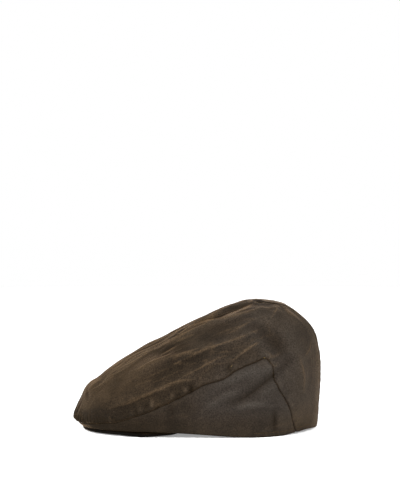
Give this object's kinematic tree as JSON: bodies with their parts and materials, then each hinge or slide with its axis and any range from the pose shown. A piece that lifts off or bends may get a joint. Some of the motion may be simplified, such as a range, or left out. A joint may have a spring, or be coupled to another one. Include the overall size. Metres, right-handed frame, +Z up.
{
  "type": "flat cap",
  "caption": "Soft flat cap: a creased top panel that runs down the back, teardrop side panels, and a short stiff peak under the front edge, open below for a head.",
  "frame": {"origin": "centre of the bounding box at its base, on the surface that the cap stands on", "axes": "-X towards the peak, -Y the wearer's left, +Z up through the crown"},
  "size_m": [0.2724, 0.182, 0.1418],
  "materials": {
    "waxed_cotton": "waxed cotton with a dull sheen and paler creases",
    "peak_cover": "waxed cotton, darker, over a stiff board"
  },
  "bodies": {
    "root": {"top_panel": "waxed_cotton", "left_side_panel": "waxed_cotton", "right_side_panel": "waxed_cotton", "peak": "peak_cover"}
  },
  "joints": []
}
